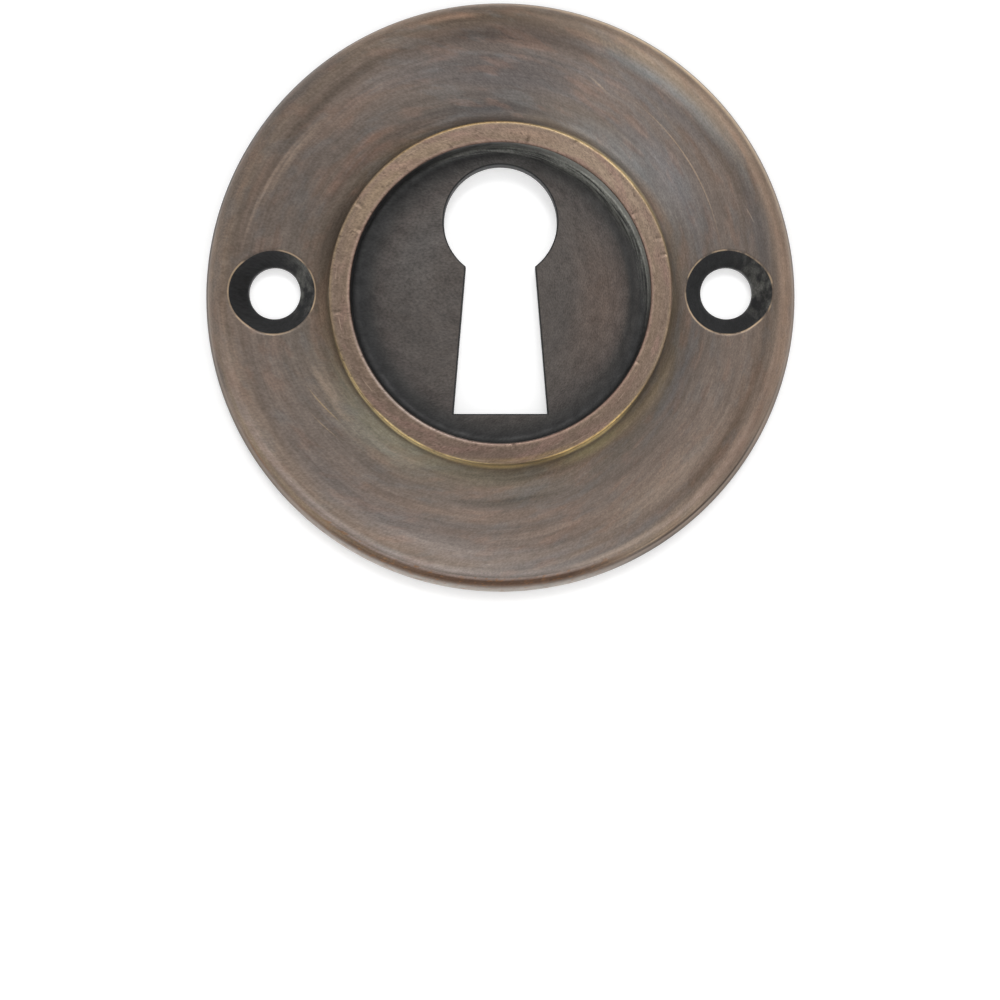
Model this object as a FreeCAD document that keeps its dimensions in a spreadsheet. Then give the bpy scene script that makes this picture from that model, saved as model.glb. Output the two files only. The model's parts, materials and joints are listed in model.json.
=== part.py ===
import FreeCAD, Part
import math
import os

import Sketcher

# Keyhole escutcheon: a round turned brass plate with a raised ring about a sunken keyhole.
# It stands as it is fixed to a door: +Z is up, the front faces -Y, and the flat back lies
# on the plane Y = 0 with the origin at its centre. A height below is measured from the back
# towards the front. All lengths are in millimetres.

SIZES = {
    "recess_diameter": (22.2, "inside of the ring, 7/8 inch"),
    "recess_corner": (0.5, "bevel left in the corner between the ring and the floor inside it"),
    "floor_thickness": (2.0, "thickness of that floor"),
    "ring_wall": (1.6, "wall of the ring, 1/16 inch, which makes it 1 inch across"),
    "ring_rise": (2.65, "from the plate's face up to the ring's face"),
    "ring_edge_break": (0.15, "bevel on both edges of the ring's face"),
    "cove_radius": (1.2, "hollow corner between the ring and the plate"),
    "plate_thickness": (2.1, "thickness of the plate outside the ring"),
    "border_width": (9.525, "plate outside the ring, 3/8 inch, for 1 3/4 inches in all"),
    "rim_width": (3.3, "from the plate's edge in to where its face turns flat"),
    "rim_rise": (0.25, "how far the rolled rim stands above that face"),
    "rim_radius": (1.05, "roll of the rim from the plate's edge over to its inner slope"),
    "edge_set_back": (0.33, "how far the straight part of the plate's edge leans in"),
    "keyhole_head_diameter": (8.5, "round head of the keyhole"),
    "keyhole_head_margin": (1.3, "floor left between the head and the ring"),
    "keyhole_waist": (5.2, "width of the slot where it leaves the head"),
    "keyhole_foot": (7.05, "width of the slot at its foot"),
    "keyhole_foot_margin": (2.25, "floor left between the middle of the foot and the ring"),
    "hole_clearance": (4.3, "from the ring out to the centre of a fixing hole"),
    "hole_rise": (0.25, "how far the fixing holes sit above the plate's centre"),
    "hole_diameter": (3.9, "straight part of a fixing hole"),
    "countersink_diameter": (6.7, "across the tool that sinks the holes"),
    "countersink_angle": (90, "full angle of the sunk cone, in degrees"),
    "countersink_rise": (0.2, "how far the cone's full width lies above the plate's face"),
    "cutter_overrun": (1.0, "how far a cut runs past the face that it opens"),
}

# Sizes that follow from those
RING_RADIUS = "(sizes.recess_diameter / 2 + sizes.ring_wall)"
PLATE_RADIUS = f"({RING_RADIUS} + sizes.border_width)"
RING_HEIGHT = "(sizes.plate_thickness + sizes.ring_rise)"
RIM_CENTRE_HEIGHT = "(sizes.plate_thickness + sizes.rim_rise - sizes.rim_radius)"
MOUTH = f"({RING_HEIGHT} + sizes.cutter_overrun)"
HEAD_RADIUS = "(sizes.keyhole_head_diameter / 2)"
HEAD_RISE = f"(sizes.recess_diameter / 2 - sizes.keyhole_head_margin - {HEAD_RADIUS})"
FOOT_DROP = "(sizes.recess_diameter / 2 - sizes.keyhole_foot_margin)"
BRIM_HEIGHT = "(sizes.plate_thickness + sizes.countersink_rise)"
SINK_STEP = "((sizes.countersink_diameter - sizes.hole_diameter) / 2)"
SINK_DEPTH = f"({SINK_STEP} / tan(sizes.countersink_angle / 2))"

# A sketch counts the points of a line or arc up from one, and its own axes down from minus one
START, END, CENTRE = range(1, 4)
ACROSS_AXIS, UP_AXIS = range(-1, -3, -1)
ORIGIN = (ACROSS_AXIS, START)

FULL_TURN = 360
TOUCH = 1e-6

doc = FreeCAD.newDocument("keyhole_escutcheon")

sizes = doc.addObject("Spreadsheet::Sheet", "sizes")
for row, (name, (value, meaning)) in enumerate(SIZES.items(), start=1):
    sizes.set(f"A{row}", name)
    sizes.set(f"B{row}", str(value))
    sizes.set(f"C{row}", meaning)
    sizes.setAlias(f"B{row}", name)
doc.recompute()

body = doc.addObject("PartDesign::Body", "escutcheon")
body.Label = "escutcheon"


def size(formula):
    """The number that a formula on the sheet comes to."""
    return float(sizes.evalExpression(formula))


def origin_plane(role):
    """One of the body's own three origin planes."""
    return next(feature for feature in body.Origin.OriginFeatures if feature.Role == role)


def new_sketch(name, plane):
    """An empty sketch on an origin plane."""
    sketch = body.newObject("Sketcher::SketchObject", name)
    sketch.AttachmentSupport = (origin_plane(plane), [""])
    sketch.MapMode = "FlatFace"
    return sketch


def line(sketch, start, end):
    """Draws a straight line and returns its number."""
    ends = [FreeCAD.Vector(*point, 0) for point in (start, end)]
    return sketch.addGeometry(Part.LineSegment(*ends), False)


def arc(sketch, centre, radius, first, last):
    """Draws an arc, counterclockwise between two angles in radians, and returns its number."""
    circle = Part.Circle(FreeCAD.Vector(*centre, 0), FreeCAD.Vector(0, 0, 1), radius)
    return sketch.addGeometry(Part.ArcOfCircle(circle, first, last), False)


def hold(sketch, kind, *ends):
    """Adds a rule without a size, such as two ends that meet."""
    sketch.addConstraint(Sketcher.Constraint(kind, *ends))


def measure(sketch, name, formula, kind, *ends):
    """Adds a named size and ties it to the sheet."""
    number = sketch.addConstraint(Sketcher.Constraint(kind, *ends, size(formula)))
    sketch.renameConstraint(number, name)
    sketch.setExpression(f"Constraints.{name}", formula)


def draw_section():
    """Half of the turned section, from the back round the front to the axis.

    The plate's axis runs across the sketch with the front to the left, and the radius runs up.
    """
    sketch = new_sketch("section", "YZ_Plane")
    plate_radius = size(PLATE_RADIUS)
    rim_radius = size("sizes.rim_radius")
    rim_centre = (-size(RIM_CENTRE_HEIGHT), plate_radius - size("sizes.edge_set_back") - rim_radius)
    edge_top = (rim_centre[0], rim_centre[1] + rim_radius)
    crest = (rim_centre[0] - rim_radius, rim_centre[1])
    thickness = size("sizes.plate_thickness")
    flat = (-thickness, plate_radius - size("sizes.rim_width"))
    ring_radius = size(RING_RADIUS)
    ring_height = size(RING_HEIGHT)
    cove_radius = size("sizes.cove_radius")
    cove_centre = (-thickness - cove_radius, ring_radius + cove_radius)

    back = line(sketch, (0, 0), (0, plate_radius))
    edge = line(sketch, (0, plate_radius), edge_top)
    rim = arc(sketch, rim_centre, rim_radius, math.pi / 2, math.pi)
    slope = line(sketch, crest, flat)
    plate_face = line(sketch, flat, (-thickness, cove_centre[1]))
    cove = arc(sketch, cove_centre, cove_radius, -math.pi / 2, 0)
    wall = line(sketch, (cove_centre[0], ring_radius), (-ring_height, ring_radius))
    ring_face = line(sketch, (-ring_height, ring_radius), (-ring_height, 0))
    axis = line(sketch, (-ring_height, 0), (0, 0))

    hold(sketch, "Coincident", back, START, *ORIGIN)
    hold(sketch, "Coincident", back, END, edge, START)
    hold(sketch, "Tangent", edge, END, rim, START)
    hold(sketch, "Tangent", rim, END, slope, START)
    hold(sketch, "Coincident", slope, END, plate_face, START)
    hold(sketch, "Tangent", plate_face, END, cove, END)
    hold(sketch, "Tangent", cove, START, wall, START)
    hold(sketch, "Coincident", wall, END, ring_face, START)
    hold(sketch, "Coincident", ring_face, END, axis, START)
    hold(sketch, "Coincident", axis, END, *ORIGIN)
    for upright in (back, plate_face, ring_face):
        hold(sketch, "Vertical", upright)
    for level in (wall, axis):
        hold(sketch, "Horizontal", level)

    measure(sketch, "plate_radius", PLATE_RADIUS, "DistanceY", *ORIGIN, edge, START)
    measure(sketch, "edge_set_back", "sizes.edge_set_back", "DistanceY", edge, END, edge, START)
    measure(sketch, "rim_radius", "sizes.rim_radius", "Radius", rim)
    measure(sketch, "rim_centre_height", RIM_CENTRE_HEIGHT, "DistanceX", rim, CENTRE, *ORIGIN)
    measure(sketch, "rim_width", "sizes.rim_width", "DistanceY", plate_face, START, edge, START)
    measure(sketch, "thickness", "sizes.plate_thickness", "DistanceX", cove, END, *ORIGIN)
    measure(sketch, "cove_radius", "sizes.cove_radius", "Radius", cove)
    measure(sketch, "ring_radius", RING_RADIUS, "DistanceY", *ORIGIN, wall, END)
    measure(sketch, "ring_height", RING_HEIGHT, "DistanceX", ring_face, START, *ORIGIN)
    return sketch


def draw_recess():
    """Half of the recess inside the ring, laid out as the section is."""
    sketch = new_sketch("recess_section", "YZ_Plane")
    mouth = -size(MOUTH)
    floor = -size("sizes.floor_thickness")
    radius = size("sizes.recess_diameter / 2")
    corner = size("sizes.recess_corner")

    opening = line(sketch, (mouth, 0), (mouth, radius))
    wall = line(sketch, (mouth, radius), (floor - corner, radius))
    bevel = line(sketch, (floor - corner, radius), (floor, radius - corner))
    bottom = line(sketch, (floor, radius - corner), (floor, 0))
    axis = line(sketch, (floor, 0), (mouth, 0))

    hold(sketch, "Coincident", opening, END, wall, START)
    hold(sketch, "Coincident", wall, END, bevel, START)
    hold(sketch, "Coincident", bevel, END, bottom, START)
    hold(sketch, "Coincident", bottom, END, axis, START)
    hold(sketch, "Coincident", axis, END, opening, START)
    hold(sketch, "PointOnObject", opening, START, ACROSS_AXIS)
    for upright in (opening, bottom):
        hold(sketch, "Vertical", upright)
    for level in (wall, axis):
        hold(sketch, "Horizontal", level)

    measure(sketch, "mouth", MOUTH, "DistanceX", opening, START, *ORIGIN)
    measure(sketch, "radius", "sizes.recess_diameter / 2", "DistanceY", *ORIGIN, wall, START)
    measure(sketch, "floor", "sizes.floor_thickness", "DistanceX", bottom, END, *ORIGIN)
    measure(sketch, "corner_height", "sizes.recess_corner", "DistanceX", bevel, START, bevel, END)
    measure(sketch, "corner_width", "sizes.recess_corner", "DistanceY", bevel, END, bevel, START)
    return sketch


def draw_keyhole():
    """The keyhole from the front: a round head over a slot that widens to a flat foot."""
    sketch = new_sketch("keyhole_outline", "XZ_Plane")
    radius = size(HEAD_RADIUS)
    rise = size(HEAD_RISE)
    half_waist = size("sizes.keyhole_waist / 2")
    half_foot = size("sizes.keyhole_foot / 2")
    foot = -size(FOOT_DROP)
    dip = math.acos(half_waist / radius)
    shoulder = rise - radius * math.sin(dip)

    head = arc(sketch, (0, rise), radius, -dip, math.pi + dip)
    left = line(sketch, (-half_waist, shoulder), (-half_foot, foot))
    bottom = line(sketch, (-half_foot, foot), (half_foot, foot))
    right = line(sketch, (half_foot, foot), (half_waist, shoulder))

    hold(sketch, "Coincident", head, END, left, START)
    hold(sketch, "Coincident", left, END, bottom, START)
    hold(sketch, "Coincident", bottom, END, right, START)
    hold(sketch, "Coincident", right, END, head, START)
    hold(sketch, "PointOnObject", head, CENTRE, UP_AXIS)
    hold(sketch, "Symmetric", head, END, head, START, UP_AXIS)
    hold(sketch, "Symmetric", bottom, START, bottom, END, UP_AXIS)

    measure(sketch, "head", HEAD_RADIUS, "Radius", head)
    measure(sketch, "rise", HEAD_RISE, "DistanceY", *ORIGIN, head, CENTRE)
    measure(sketch, "waist", "sizes.keyhole_waist", "DistanceX", left, START, right, END)
    measure(sketch, "foot", "sizes.keyhole_foot", "DistanceX", bottom, START, bottom, END)
    measure(sketch, "drop", FOOT_DROP, "DistanceY", bottom, END, *ORIGIN)
    return sketch


def draw_fixing_hole():
    """Half of one fixing hole: straight at the back, a cone to the tool's width, then open."""
    sketch = new_sketch("fixing_hole_section", "XY_Plane")
    sketch.setExpression("AttachmentOffset.Base.x", f"{RING_RADIUS} + sizes.hole_clearance")
    sketch.setExpression("AttachmentOffset.Base.z", "sizes.hole_rise")
    behind = size("sizes.cutter_overrun")
    radius = size("sizes.hole_diameter / 2")
    wide = size("sizes.countersink_diameter / 2")
    brim = -size(BRIM_HEIGHT)
    land = brim + size(SINK_DEPTH)
    mouth = -size(MOUTH)

    corners = [(0, behind), (radius, behind), (radius, land), (wide, brim), (wide, mouth), (0, mouth)]
    sides = [line(sketch, corners[n - 1], corner) for n, corner in enumerate(corners)]
    axis, back, straight, cone, tool, front = sides
    for n, side in enumerate(sides):
        hold(sketch, "Coincident", sides[n - 1], END, side, START)
    for upright in (axis, straight, tool):
        hold(sketch, "Vertical", upright)
    for level in (back, front):
        hold(sketch, "Horizontal", level)
    hold(sketch, "PointOnObject", axis, START, UP_AXIS)

    measure(sketch, "behind", "sizes.cutter_overrun", "DistanceY", *ORIGIN, axis, END)
    measure(sketch, "radius", "sizes.hole_diameter / 2", "DistanceX", *ORIGIN, straight, END)
    measure(sketch, "wide", "sizes.countersink_diameter / 2", "DistanceX", *ORIGIN, tool, START)
    measure(sketch, "brim", BRIM_HEIGHT, "DistanceY", cone, END, *ORIGIN)
    measure(sketch, "depth", SINK_DEPTH, "DistanceY", cone, END, cone, START)
    measure(sketch, "mouth", MOUTH, "DistanceY", tool, END, *ORIGIN)
    return sketch


def edges_at_height(shape, height):
    """The names of the edges that lie wholly at one height above the back."""
    return [
        f"Edge{number}"
        for number, edge in enumerate(shape.Edges, start=1)
        if abs(edge.BoundBox.YMin + height) < TOUCH and abs(edge.BoundBox.YMax + height) < TOUCH
    ]


# The blank, turned with its plate, rim and cove and a solid boss where the ring will be
blank = body.newObject("PartDesign::Revolution", "turned_blank")
blank.Profile = draw_section()
blank.ReferenceAxis = (blank.Profile[0], ["H_Axis"])
blank.Angle = FULL_TURN

# The recess, which leaves the boss as a ring with a floor inside
recess = body.newObject("PartDesign::Groove", "recess")
recess.Profile = draw_recess()
recess.ReferenceAxis = (recess.Profile[0], ["H_Axis"])
recess.Angle = FULL_TURN
doc.recompute()

# Both edges of the ring's face are eased
eased = body.newObject("PartDesign::Chamfer", "eased_ring")
eased.Base = (recess, edges_at_height(recess.Shape, size(RING_HEIGHT)))
eased.setExpression("Size", "sizes.ring_edge_break")

# The keyhole, cut straight through the floor
keyhole = body.newObject("PartDesign::Pocket", "keyhole")
keyhole.Profile = draw_keyhole()
keyhole.Type = "ThroughAll"
keyhole.Midplane = True
doc.recompute()

# One fixing hole and its mirror image across the upright plane through the axis
hole = body.newObject("PartDesign::Groove", "fixing_hole")
hole.Profile = draw_fixing_hole()
hole.ReferenceAxis = (hole.Profile[0], ["V_Axis"])
hole.Angle = FULL_TURN
doc.recompute()
holes = body.newObject("PartDesign::Mirrored", "fixing_holes")
holes.Originals = [hole]
holes.MirrorPlane = (origin_plane("YZ_Plane"), [""])
body.Tip = holes
doc.recompute()

for item in doc.Objects:
    if {"Invalid", "Error"} & set(item.State):
        raise RuntimeError(f"{item.Name} could not be made: {item.State}")
    if item.TypeId == "Sketcher::SketchObject" and not item.FullyConstrained:
        raise RuntimeError(f"{item.Name} isn't fully held")
steps = [blank, recess, eased, keyhole, hole, holes]
for before, after in zip(steps, steps[1:]):
    if after.Shape.Volume > before.Shape.Volume - TOUCH:
        raise RuntimeError(f"{after.Name} takes no metal away")
if body.Shape.isNull() or not body.Shape.isValid() or len(body.Shape.Solids) != 1:
    raise RuntimeError("the escutcheon isn't one sound solid")

os.makedirs("parts", exist_ok=True)
body.Shape.exportStep(f"parts/{body.Label}.step")
print(f"{body.Label}: {body.Shape.Volume:.1f} cubic mm, {len(body.Shape.Faces)} faces")
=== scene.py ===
import json
import math
from functools import cached_property
from typing import NamedTuple

import bmesh
import bpy
import numpy as np
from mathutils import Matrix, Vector


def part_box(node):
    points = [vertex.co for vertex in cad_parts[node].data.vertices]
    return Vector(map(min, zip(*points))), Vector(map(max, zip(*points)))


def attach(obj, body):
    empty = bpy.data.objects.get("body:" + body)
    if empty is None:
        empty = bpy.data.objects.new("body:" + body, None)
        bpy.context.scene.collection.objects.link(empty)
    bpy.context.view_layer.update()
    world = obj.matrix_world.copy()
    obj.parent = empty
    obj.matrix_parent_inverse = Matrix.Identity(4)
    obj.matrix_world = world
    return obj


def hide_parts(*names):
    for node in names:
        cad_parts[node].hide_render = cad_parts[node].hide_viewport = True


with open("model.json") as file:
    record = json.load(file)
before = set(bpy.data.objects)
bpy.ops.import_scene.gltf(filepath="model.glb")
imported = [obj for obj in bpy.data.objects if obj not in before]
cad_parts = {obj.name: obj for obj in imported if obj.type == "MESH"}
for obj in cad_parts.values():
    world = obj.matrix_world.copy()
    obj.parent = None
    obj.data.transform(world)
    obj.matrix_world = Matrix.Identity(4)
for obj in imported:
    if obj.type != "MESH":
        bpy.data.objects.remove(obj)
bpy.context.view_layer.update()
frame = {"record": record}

# Keyhole escutcheon: one round piece of brass, turned, blackened, and rubbed back by hand. It stands
# as it is fixed to a door: +Z is up, the front faces -Y, and the flat back lies on the plane Y = 0.
# Lengths are in millimetres up to the point where a mesh, lamp or camera is made. A radius is measured
# from the plate's axis, and a height from its back towards the front.

MM = 0.001

# Sizes that the frame gives
node_low, node_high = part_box("escutcheon")
PLATE_RADIUS = (node_high.x - node_low.x) / 2 / MM
RING_HEIGHT = -node_low.y / MM
fixing = next(mount for mount in frame["record"]["mounts"] if mount["name"] == "fixing_holes")
HOLE_OFFSET = fixing["dims"]["spacing_x_mm"] / 2
HOLE_RISE = fixing["pos_m"][2] / MM
HOLE_RADIUS = fixing["dims"]["hole_r_mm"]

# The turned section
EDGE_SET_BACK = 0.33
EDGE_LEAN = math.radians(12.6)
RIM_ROLL = 1.05
RIM_HEIGHT = 2.35
PLATE_HEIGHT = 2.1
FLAT_RADIUS = PLATE_RADIUS - 3.3
CREST_RADIUS = PLATE_RADIUS - EDGE_SET_BACK - RIM_ROLL * math.cos(EDGE_LEAN)
COVE = 1.2
RING_RADIUS = 12.7
RECESS_RADIUS = 11.1
FLOOR_HEIGHT = 2.0
RECESS_CORNER = 0.5

# The keyhole and the sunk fixing holes
HEAD_RADIUS = 4.25
HEAD_RISE = 5.55
HALF_WAIST = 2.6
HALF_FOOT = 3.525
FOOT_DROP = 8.85
LAND_HEIGHT = 0.9

# How far the edges are worn round
BACK_EDGE = 0.06
RING_EDGE = 0.16
KEYHOLE_EDGE = 0.1
BRIM_EDGE = 0.14

# How finely the mesh is divided: faces round the axis, faces to either side of a fixing hole's middle that
# make room for it, faces along each part of the keyhole's outline, and the width of the narrow face that
# holds a worn edge's shape
AROUND = 576
HALF_SECTOR = 24
HEAD_STEPS = 120
SIDE_STEPS = 40
FOOT_STEPS = 24
SUPPORT = 0.15

# A turn between two faces that is sharper than this shows as an edge
SHARP = math.radians(35)

# Where it has been knocked in use: a clock angle in degrees from the top, and a radius
RING_KNOCKS = [(-66, 11.4), (-58, 12.3), (10, 11.45), (27, 12.5), (59.5, 11.45), (71, 12.35), (77, 12.45),
               (117, 11.25), (175, 11.25), (263, 12.1)]
RIM_KNOCKS = [(241, 21.5), (233.5, 21.65), (220, 21.5), (214, 21.35), (75.7, 21.6)]

# A knock's length along the radius, and how far it spreads to either side round the axis
RING_KNOCK = (0.5, 0.12)
RIM_KNOCK = (0.45, 0.4)

# How deep the knocks are, how far below the top of the ring and the rim they end, and over what height they
# fade out there
KNOCK_DEPTH = 0.07
RING_KNOCK_REACH = 0.45
RIM_KNOCK_REACH = 1.1
KNOCK_FADE = 0.3


def spaced(start, end, steps):
    """Evenly spaced (radius, height) points from one to another, without the first."""
    shares = np.linspace(0, 1, steps + 1)[1:, None]
    return [tuple(point) for point in np.array(start) + shares * (np.array(end) - np.array(start))]


def rounded(centre, radius, first, last, steps):
    """Points of an arc in the section, between two angles in degrees."""
    angles = np.radians(np.linspace(first, last, steps + 1))
    return [(centre[0] + radius * math.cos(a), centre[1] + radius * math.sin(a)) for a in angles]


def plate_height(radius):
    """Height of the plate's face outside the ring: the cove, the flat, then the rise to the rim."""
    inside = np.clip(RING_RADIUS + COVE - radius, 0, COVE)
    cove = PLATE_HEIGHT + COVE - np.sqrt(COVE**2 - inside**2)
    share = np.clip((radius - FLAT_RADIUS) / (CREST_RADIUS - FLAT_RADIUS), 0, 1)
    rise = (RIM_HEIGHT - PLATE_HEIGHT) * (1 - np.cos(math.pi * share)) / 2
    return cove + rise


def turned_section():
    """The section from the back's edge, over the rim and the ring, to the floor of the recess.

    Returns the (radius, height) points, and the first and last of them that a fixing hole breaks into.
    """
    lean = math.degrees(EDGE_LEAN)
    corner = (PLATE_RADIUS - BACK_EDGE, BACK_EDGE)
    ring_corner = RING_HEIGHT - RING_EDGE
    section = [(PLATE_RADIUS - BACK_EDGE - SUPPORT, 0)]
    section += rounded(corner, BACK_EDGE, -90, lean, 3)
    rim = rounded((CREST_RADIUS, RIM_HEIGHT - RIM_ROLL), RIM_ROLL, lean, 90, 12)
    section += spaced(section[-1], rim[0], 4)
    section += rim[1:]
    first = len(section) - 1
    slope = np.linspace(CREST_RADIUS, FLAT_RADIUS, 13)[1:]
    flat = np.linspace(FLAT_RADIUS, RING_RADIUS + COVE, 12)[1:]
    cove = RING_RADIUS + COVE - COVE * np.sin(np.radians(np.linspace(0, 90, 13)))[1:]
    section += [(radius, float(plate_height(radius))) for radius in (*slope, *flat, *cove)]
    half_up_the_cove = len(cove) // 2
    last = len(section) - half_up_the_cove - 1
    section += spaced(section[-1], (RING_RADIUS, ring_corner), 4)
    section += rounded((RING_RADIUS - RING_EDGE, ring_corner), RING_EDGE, 0, 90, 5)[1:]
    inner = RECESS_RADIUS + RING_EDGE
    section += spaced(section[-1], (inner, RING_HEIGHT), 8)
    section += rounded((inner, ring_corner), RING_EDGE, 90, 180, 5)[1:]
    hollow = (RECESS_RADIUS - RECESS_CORNER, FLOOR_HEIGHT + RECESS_CORNER)
    section += spaced(section[-1], (RECESS_RADIUS, hollow[1]), 5)
    section += rounded(hollow, RECESS_CORNER, 0, -90, 6)[1:]
    section.append((hollow[0] - SUPPORT, FLOOR_HEIGHT))
    return section, first, last


def hole_rings(boundary, side):
    """The loops of one fixing hole, from its boundary on the plate's face down to the back."""
    centre = np.array([side * HOLE_OFFSET, HOLE_RISE])
    across = boundary[:, :2] - centre
    reach = np.linalg.norm(across, axis=1)
    across /= reach[:, None]

    def face(distance):
        return plate_height(np.linalg.norm(centre + across * distance[:, None], axis=1))

    def cone(distance):
        return LAND_HEIGHT + distance - HOLE_RADIUS

    # The brim lies where the cone meets the face. Each try puts it on the cone at the last one's height.
    brim = np.full(len(reach), HOLE_RADIUS)
    for _ in range(30):
        brim = HOLE_RADIUS + face(brim) - LAND_HEIGHT
    inner = HOLE_RADIUS + BACK_EDGE
    on_the_face = (0.84, 0.69, 0.55, 0.43, 0.32, 0.23, 0.15, 0.09, 0.04, 0)
    over_the_brim = (0.6, 0.3, 0, -0.3, -0.6, -1)
    down_the_cone = (0.8, 0.6, 0.4, 0.2, 0)
    distances = [brim + BRIM_EDGE + share * (reach - brim - BRIM_EDGE) for share in on_the_face]
    distances += [brim + BRIM_EDGE * share for share in over_the_brim]
    distances += [inner + share * (brim - BRIM_EDGE - inner) for share in down_the_cone]
    loops = []
    for distance in distances:
        gap = np.clip(BRIM_EDGE - abs(face(distance) - cone(distance)), 0, None)
        height = np.minimum(face(distance), cone(distance)) - gap**2 / (4 * BRIM_EDGE)
        loops.append((distance, height))
    level = np.ones(len(reach))
    for distance, height in (
        (HOLE_RADIUS, LAND_HEIGHT - BACK_EDGE),
        (HOLE_RADIUS, LAND_HEIGHT / 2),
        (HOLE_RADIUS, BACK_EDGE),
        (HOLE_RADIUS + BACK_EDGE / 3, BACK_EDGE / 3),
        (HOLE_RADIUS + BACK_EDGE, 0),
        (HOLE_RADIUS + BACK_EDGE + SUPPORT, 0),
    ):
        loops.append((distance * level, height * level))
    return [np.column_stack((centre + across * distance[:, None], height)) for distance, height in loops]


def keyhole_outline(margin):
    """The keyhole's outline, let out by a margin, as points that run once round."""
    start = np.array([HALF_WAIST, HEAD_RISE - math.sqrt(HEAD_RADIUS**2 - HALF_WAIST**2)])
    along = np.array([HALF_FOOT, -FOOT_DROP]) - start
    along /= np.linalg.norm(along)
    outward = np.array([-along[1], along[0]])
    start = start + outward * margin
    from_centre = start - (0, HEAD_RISE)
    half_b = from_centre @ along
    c = from_centre @ from_centre - (HEAD_RADIUS + margin) ** 2
    root = math.sqrt(half_b**2 - c)
    shoulder = start + along * min(root - half_b, -root - half_b, key=abs)
    foot = start + along * ((-FOOT_DROP - margin - start[1]) / along[1])
    dip = math.atan2(shoulder[1] - HEAD_RISE, shoulder[0])
    turns = np.linspace(dip, math.pi - dip, HEAD_STEPS + 1)[1:-1]
    head = np.column_stack((np.cos(turns), np.sin(turns))) * (HEAD_RADIUS + margin) + (0, HEAD_RISE)
    mirror = np.array([-1, 1])
    side = shoulder + np.linspace(0, 1, SIDE_STEPS + 1)[:, None] * (foot - shoulder)
    bottom = foot + np.linspace(0, 1, FOOT_STEPS + 1)[1:-1, None] * (foot * mirror - foot)
    return np.vstack((head, side * mirror, bottom[::-1], side[::-1]))


def keyhole_rings():
    """The loops of the keyhole, from the floor of the recess down to the back."""
    steps = [(KEYHOLE_EDGE + SUPPORT, FLOOR_HEIGHT)]
    for turn in np.radians(np.linspace(0, 90, 5)):
        drop = KEYHOLE_EDGE * (1 - math.cos(turn))
        steps.append((KEYHOLE_EDGE * (1 - math.sin(turn)), FLOOR_HEIGHT - drop))
    steps += [(0, FLOOR_HEIGHT * share) for share in (0.75, 0.5, 0.25)]
    steps += [(0, BACK_EDGE), (BACK_EDGE / 3, BACK_EDGE / 3), (BACK_EDGE, 0), (BACK_EDGE + SUPPORT, 0)]
    loops = []
    for margin, height in steps:
        outline = keyhole_outline(margin)
        loops.append(np.column_stack((outline, np.full(len(outline), height))))
    return loops


def press_knocks(mesh):
    """Presses the small knocks of use into the edges of the ring and the rim."""
    places = np.empty(len(mesh.vertices) * 3)
    mesh.vertices.foreach_get("co", places)
    places = places.reshape(-1, 3)
    x, height, z = (places * (1, -1, 1) / MM).T
    radius = np.hypot(x, z)
    for knocks, (length, spread), level in (
        (RING_KNOCKS, RING_KNOCK, RING_HEIGHT - RING_KNOCK_REACH),
        (RIM_KNOCKS, RIM_KNOCK, RIM_HEIGHT - RIM_KNOCK_REACH),
    ):
        near_top = np.clip((height - level) / KNOCK_FADE, 0, 1)
        for clock, knock_radius in knocks:
            turn = math.radians(clock)
            aside = x * math.cos(turn) - z * math.sin(turn)
            same_side = x * math.sin(turn) + z * math.cos(turn) > 0
            across = np.clip(1 - abs(aside) / spread, 0, 1)
            along = np.clip(1.5 - 2 * abs(radius - knock_radius) / length, 0, 1)
            places[:, 1] += MM * KNOCK_DEPTH * across * along * near_top * same_side
    mesh.vertices.foreach_set("co", places.ravel())


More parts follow.
